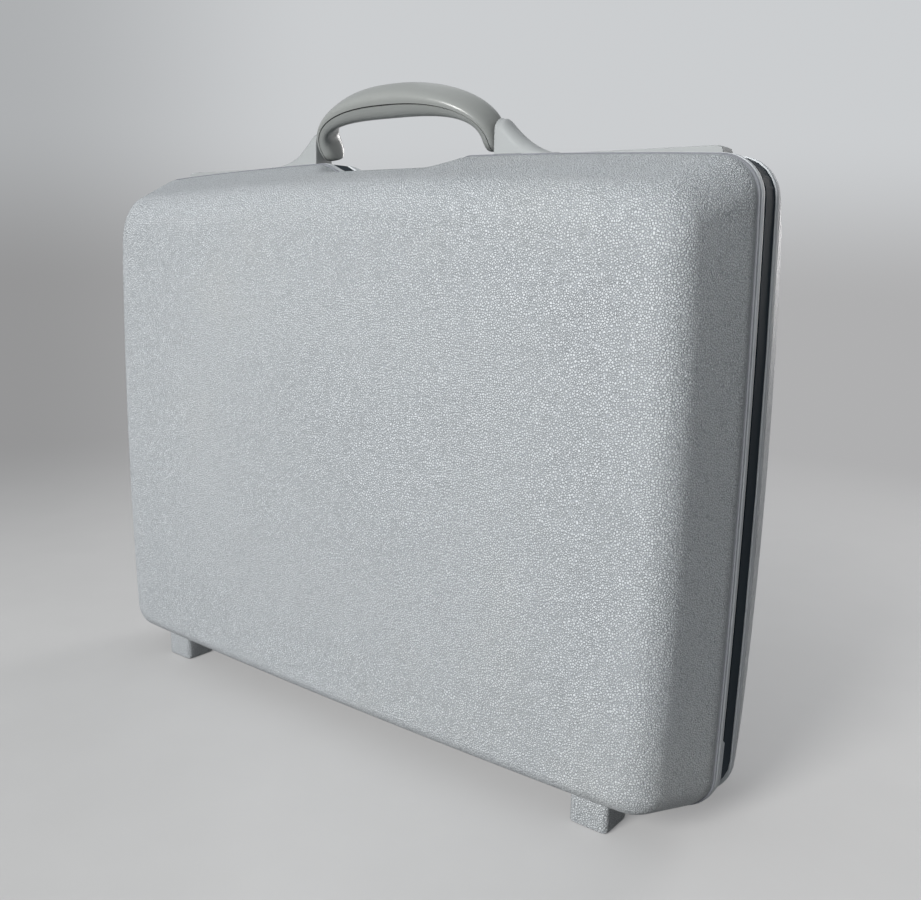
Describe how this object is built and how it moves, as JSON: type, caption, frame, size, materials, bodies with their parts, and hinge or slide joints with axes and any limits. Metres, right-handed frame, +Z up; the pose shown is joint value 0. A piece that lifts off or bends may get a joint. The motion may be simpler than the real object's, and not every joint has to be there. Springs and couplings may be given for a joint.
{
  "type": "attache case",
  "caption": "Hard-shell attache case with pebbled shells on moulded feet, a folding two-cover handle between flared pedestals, slide latches and a bottom-hinged lid on parallel stays.",
  "frame": {"origin": "on the floor under the middle of the closed case", "axes": "+X along the case's length, +Y from the lid to the base half, +Z up"},
  "size_m": [0.46, 0.13, 0.3942],
  "materials": {
    "shell": "pebbled",
    "rim": "smooth satin",
    "frame": "satin",
    "seal": "matte",
    "lining": "woven",
    "pocket": "woven",
    "handle": "satin",
    "core": "matte",
    "button": "satin",
    "steel": "brushed",
    "rivet": "polished"
  },
  "bodies": {
    "base": {"base_shell": "shell", "base_rim": "rim", "base_frame": "frame", "seal_strip": "seal", "base_lining": "lining", "pedestal_left": "rim", "pedestal_right": "rim", "handle_pins": "rivet", "latch_housing_left": "rim", "latch_housing_right": "rim", "hinge_leaves_base": "steel", "hinge_rivets_base": "rivet", "stay_rivets_base": "rivet"},
    "lid": {"lid_shell": "shell", "lid_rim": "rim", "lid_lining": "lining", "corner_strip_left": "rim", "corner_strip_right": "rim", "hinge_leaves_lid": "steel", "hinge_pins": "rivet", "hinge_rivets_lid": "rivet", "keeper_left": "steel", "keeper_right": "steel", "keeper_screws": "rivet", "stay_rivets_lid": "rivet", "document_pocket": "pocket", "card_pocket": "pocket", "pen_loops": "pocket"},
    "handle": {"handle_upper_cover": "handle", "handle_lower_cover": "handle", "handle_core": "core"},
    "latch_slide_left": {"latch_button_left": "button", "latch_bolt_left": "steel"},
    "latch_slide_right": {"latch_button_right": "button", "latch_bolt_right": "steel"},
    "stay_arm_l": {"stay_arm_left": "steel"},
    "stay_link_l": {"stay_link_left": "steel"},
    "stay_arm_r": {"stay_arm_right": "steel"},
    "stay_link_r": {"stay_link_right": "steel"}
  },
  "joints": [
    {"name": "lid_hinge", "type": "hinge", "parent": "base", "child": "lid", "pos_m": [0, -0.0059, 0.0095], "axis": [1, 0, 0], "range_deg": [0, 100]},
    {"name": "handle_pivot", "type": "hinge", "parent": "base", "child": "handle", "pos_m": [0, 0.0005, 0.3628], "axis": [1, 0, 0], "range_deg": [-120, 52]},
    {"name": "latch_slide_left_travel", "type": "slide", "parent": "base", "child": "latch_slide_left", "axis": [-1, 0, 0], "range_m": [0, 0.006]},
    {"name": "latch_slide_right_travel", "type": "slide", "parent": "base", "child": "latch_slide_right", "axis": [1, 0, 0], "range_m": [0, 0.006]},
    {"name": "stay_arm_l_pivot", "type": "hinge", "parent": "base", "child": "stay_arm_l", "pos_m": [-0.2151, 0.016, 0.0595], "axis": [1, 0, 0], "range_deg": [0, 100]},
    {"name": "stay_link_l_pivot", "type": "hinge", "parent": "stay_arm_l", "child": "stay_link_l", "pos_m": [-0.2131, 0.0059, 0.1095], "axis": [1, 0, 0], "range_deg": [-100, 0]},
    {"name": "stay_arm_r_pivot", "type": "hinge", "parent": "base", "child": "stay_arm_r", "pos_m": [0.2151, 0.016, 0.0595], "axis": [1, 0, 0], "range_deg": [0, 100]},
    {"name": "stay_link_r_pivot", "type": "hinge", "parent": "stay_arm_r", "child": "stay_link_r", "pos_m": [0.2131, 0.0059, 0.1095], "axis": [1, 0, 0], "range_deg": [-100, 0]}
  ],
  "couplings": [
    {"joint": "stay_arm_l_pivot", "follows": "lid_hinge", "ratio": 1},
    {"joint": "stay_link_l_pivot", "follows": "lid_hinge", "ratio": -1},
    {"joint": "stay_arm_r_pivot", "follows": "lid_hinge", "ratio": 1},
    {"joint": "stay_link_r_pivot", "follows": "lid_hinge", "ratio": -1}
  ]
}
